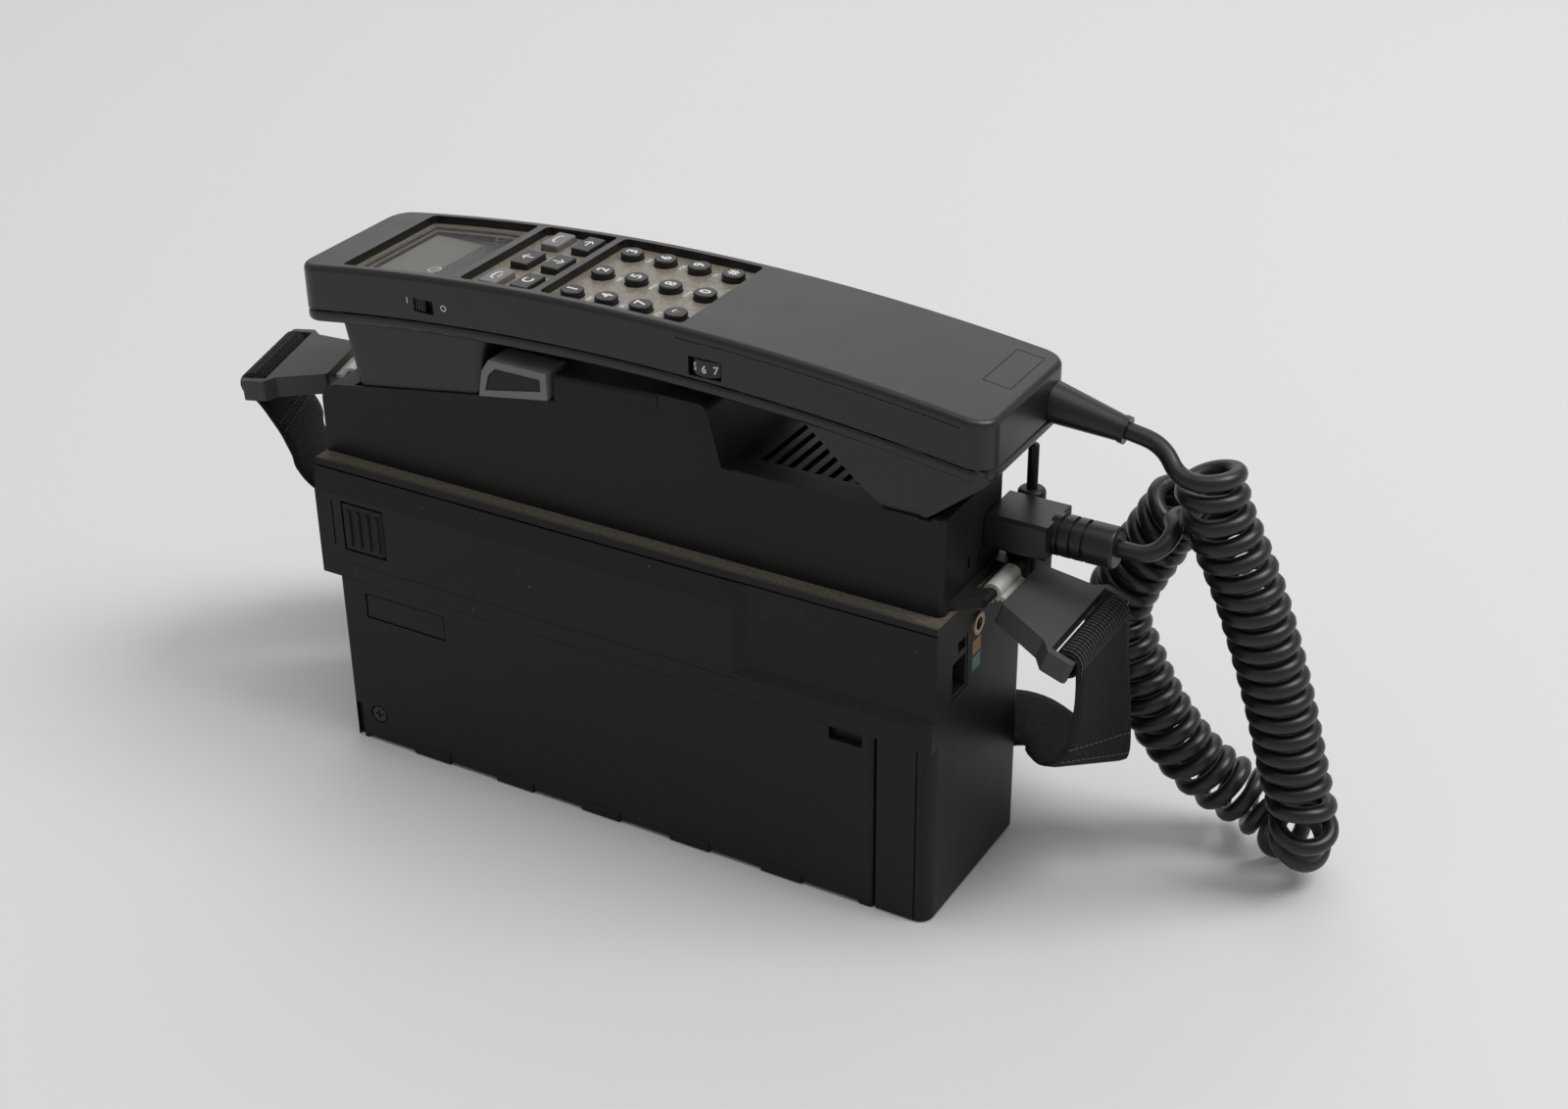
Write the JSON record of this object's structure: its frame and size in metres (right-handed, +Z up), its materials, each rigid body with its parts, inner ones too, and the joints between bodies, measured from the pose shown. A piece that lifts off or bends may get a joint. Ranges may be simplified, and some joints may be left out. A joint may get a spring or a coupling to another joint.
{
  "type": "bag phone",
  "caption": "Early portable cellular phone: arched handset in a cradle on a radio unit and battery pack, with a curly cord, push buttons and a webbing strap on hinged clips.",
  "frame": {"origin": "on the floor under the middle of the body (battery pack and end block), on the face that it stands on", "axes": "+X along the body's long side to the end with the sockets, +Y from the front to the back, +Z up"},
  "size_m": [0.3589, 0.1022, 0.1684],
  "materials": {
    "case_plastic": "fine spark texture, satin black",
    "inner_plastic": "plain moulded",
    "handset_plastic": "smooth satin black",
    "foot_rubber": "dull black rubber",
    "cord_rubber": "satin black cord jacket",
    "screw_steel": "blackened steel",
    "cell_sleeve": "shrink sleeve",
    "contact_metal": "plated",
    "board_laminate": "solder resist",
    "tinned_sheet": "tinned",
    "antenna_black": "satin",
    "speaker_black": "pressed basket",
    "button_grey": "light grey, satin",
    "insert_dark": "dark grey, textured",
    "window_clear": "smoked clear",
    "display_grey": "grey display with a dark strip",
    "mat_rubber": "grey silicone",
    "key_black": "satin black with printed symbols",
    "key_grey": "light grey with symbols",
    "hook_steel": "dulled plating",
    "webbing_fabric": "ribbed black webbing"
  },
  "bodies": {
    "radio": {"radio_housing": "case_plastic", "end_block": "case_plastic", "radio_base_plate": "inner_plastic", "transceiver_board": "board_laminate", "shield_cans": "tinned_sheet", "power_connector": "inner_plastic", "headset_jack": "contact_metal", "connector_dock": "case_plastic", "antenna": "antenna_black", "cradle_housing": "case_plastic", "deck_grille": "inner_plastic", "loudspeaker": "speaker_black", "latch_wedge": "case_plastic", "cord_plug": "cord_rubber", "curly_cord": "cord_rubber", "webbing_left": "webbing_fabric", "webbing_right": "webbing_fabric", "strap_adjuster": "case_plastic"},
    "battery": {"battery_case": "case_plastic", "battery_cover": "case_plastic", "battery_cells": "cell_sleeve", "battery_contacts": "contact_metal", "rubber_feet": "foot_rubber", "case_screws": "screw_steel"},
    "pack_latch": {"battery_latch": "case_plastic"},
    "release": {"release_button": "button_grey", "button_insert": "insert_dark"},
    "handset": {"handset_upper_shell": "handset_plastic", "handset_lower_shell": "handset_plastic", "display_window": "window_clear", "display_module": "display_grey", "keypad_mat": "mat_rubber", "handset_board": "board_laminate", "sound_capsules": "inner_plastic", "handset_screws": "screw_steel", "handset_strain_relief": "cord_rubber"},
    "power_slide": {"power_slider": "handset_plastic"},
    "wheel": {"volume_wheel": "handset_plastic"},
    "left_clip": {"clip_left": "case_plastic", "hook_left": "hook_steel"},
    "right_clip": {"clip_right": "case_plastic", "hook_right": "hook_steel"},
    "button_key_1": {"key_1": "key_black"},
    "button_key_2": {"key_2": "key_black"},
    "button_key_3": {"key_3": "key_black"},
    "button_key_4": {"key_4": "key_black"},
    "button_key_5": {"key_5": "key_black"},
    "button_key_6": {"key_6": "key_black"},
    "button_key_7": {"key_7": "key_black"},
    "button_key_8": {"key_8": "key_black"},
    "button_key_9": {"key_9": "key_black"},
    "button_key_star": {"key_star": "key_black"},
    "button_key_0": {"key_0": "key_black"},
    "button_key_hash": {"key_hash": "key_black"},
    "button_hook_key_end": {"hook_key_end": "key_grey"},
    "button_up_key": {"up_key": "key_black"},
    "button_hook_key_send": {"hook_key_send": "key_grey"},
    "button_clear_key": {"clear_key": "key_black"},
    "button_down_key": {"down_key": "key_black"},
    "button_function_key": {"function_key": "key_black"}
  },
  "joints": [
    {"name": "battery_slide", "type": "slide", "parent": "radio", "child": "battery", "axis": [-1, 0, 0], "range_m": [0, 0.08]},
    {"name": "pack_latch_bend", "type": "hinge", "parent": "radio", "child": "pack_latch", "pos_m": [-0.08615, -0.0279, 0.0785], "axis": [0, 0, 1], "range_deg": [-5, 0], "stiffness_Nm_per_rad": 0.4, "springref_deg": 2.86},
    {"name": "release_press", "type": "slide", "parent": "radio", "child": "release", "axis": [0, 1, 0], "range_m": [0, 0.0025], "stiffness_N_per_m": 500, "springref_m": -0.0015},
    {"name": "handset_lift", "type": "slide", "parent": "radio", "child": "handset", "axis": [0, 0, 1], "range_m": [0, 0.025], "deforming": ["curly_cord"]},
    {"name": "power_switch_slide", "type": "slide", "parent": "handset", "child": "power_slide", "axis": [1, 0, 0], "range_m": [0, 0.003]},
    {"name": "volume_turn", "type": "hinge", "parent": "handset", "child": "wheel", "pos_m": [0.029, -0.0156, 0.1575], "axis": [0, 0, 1], "range_deg": [-135, 135]},
    {"name": "left_clip_swing", "type": "hinge", "parent": "radio", "child": "left_clip", "pos_m": [-0.1211, 0.009, 0.1115], "axis": [0.2756, -0.9613, 0], "range_deg": [-40, 66], "deforming": ["webbing_left"]},
    {"name": "right_clip_swing", "type": "hinge", "parent": "radio", "child": "right_clip", "pos_m": [0.1093, 0.001, 0.1006], "axis": [0, 1, 0], "range_deg": [-22, 38], "deforming": ["webbing_right"]},
    {"name": "key_1_press", "type": "slide", "parent": "handset", "child": "button_key_1", "axis": [0, 0, -1], "range_m": [0, 0.0008], "stiffness_N_per_m": 250, "springref_m": -0.0008},
    {"name": "key_2_press", "type": "slide", "parent": "handset", "child": "button_key_2", "axis": [0, 0, -1], "range_m": [0, 0.0008], "stiffness_N_per_m": 250, "springref_m": -0.0008},
    {"name": "key_3_press", "type": "slide", "parent": "handset", "child": "button_key_3", "axis": [0, 0, -1], "range_m": [0, 0.0008], "stiffness_N_per_m": 250, "springref_m": -0.0008},
    {"name": "key_4_press", "type": "slide", "parent": "handset", "child": "button_key_4", "axis": [0, 0, -1], "range_m": [0, 0.0008], "stiffness_N_per_m": 250, "springref_m": -0.0008},
    {"name": "key_5_press", "type": "slide", "parent": "handset", "child": "button_key_5", "axis": [0, 0, -1], "range_m": [0, 0.0008], "stiffness_N_per_m": 250, "springref_m": -0.0008},
    {"name": "key_6_press", "type": "slide", "parent": "handset", "child": "button_key_6", "axis": [0, 0, -1], "range_m": [0, 0.0008], "stiffness_N_per_m": 250, "springref_m": -0.0008},
    {"name": "key_7_press", "type": "slide", "parent": "handset", "child": "button_key_7", "axis": [0, 0, -1], "range_m": [0, 0.0008], "stiffness_N_per_m": 250, "springref_m": -0.0008},
    {"name": "key_8_press", "type": "slide", "parent": "handset", "child": "button_key_8", "axis": [0, 0, -1], "range_m": [0, 0.0008], "stiffness_N_per_m": 250, "springref_m": -0.0008},
    {"name": "key_9_press", "type": "slide", "parent": "handset", "child": "button_key_9", "axis": [0, 0, -1], "range_m": [0, 0.0008], "stiffness_N_per_m": 250, "springref_m": -0.0008},
    {"name": "key_star_press", "type": "slide", "parent": "handset", "child": "button_key_star", "axis": [0, 0, -1], "range_m": [0, 0.0008], "stiffness_N_per_m": 250, "springref_m": -0.0008},
    {"name": "key_0_press", "type": "slide", "parent": "handset", "child": "button_key_0", "axis": [0, 0, -1], "range_m": [0, 0.0008], "stiffness_N_per_m": 250, "springref_m": -0.0008},
    {"name": "key_hash_press", "type": "slide", "parent": "handset", "child": "button_key_hash", "axis": [0, 0, -1], "range_m": [0, 0.0008], "stiffness_N_per_m": 250, "springref_m": -0.0008},
    {"name": "hook_key_end_press", "type": "slide", "parent": "handset", "child": "button_hook_key_end", "axis": [0, 0, -1], "range_m": [0, 0.0008], "stiffness_N_per_m": 250, "springref_m": -0.0008},
    {"name": "up_key_press", "type": "slide", "parent": "handset", "child": "button_up_key", "axis": [0, 0, -1], "range_m": [0, 0.0008], "stiffness_N_per_m": 250, "springref_m": -0.0008},
    {"name": "hook_key_send_press", "type": "slide", "parent": "handset", "child": "button_hook_key_send", "axis": [0, 0, -1], "range_m": [0, 0.0008], "stiffness_N_per_m": 250, "springref_m": -0.0008},
    {"name": "clear_key_press", "type": "slide", "parent": "handset", "child": "button_clear_key", "axis": [0, 0, -1], "range_m": [0, 0.0008], "stiffness_N_per_m": 250, "springref_m": -0.0008},
    {"name": "down_key_press", "type": "slide", "parent": "handset", "child": "button_down_key", "axis": [0, 0, -1], "range_m": [0, 0.0008], "stiffness_N_per_m": 250, "springref_m": -0.0008},
    {"name": "function_key_press", "type": "slide", "parent": "handset", "child": "button_function_key", "axis": [0, 0, -1], "range_m": [0, 0.0008], "stiffness_N_per_m": 250, "springref_m": -0.0008}
  ]
}
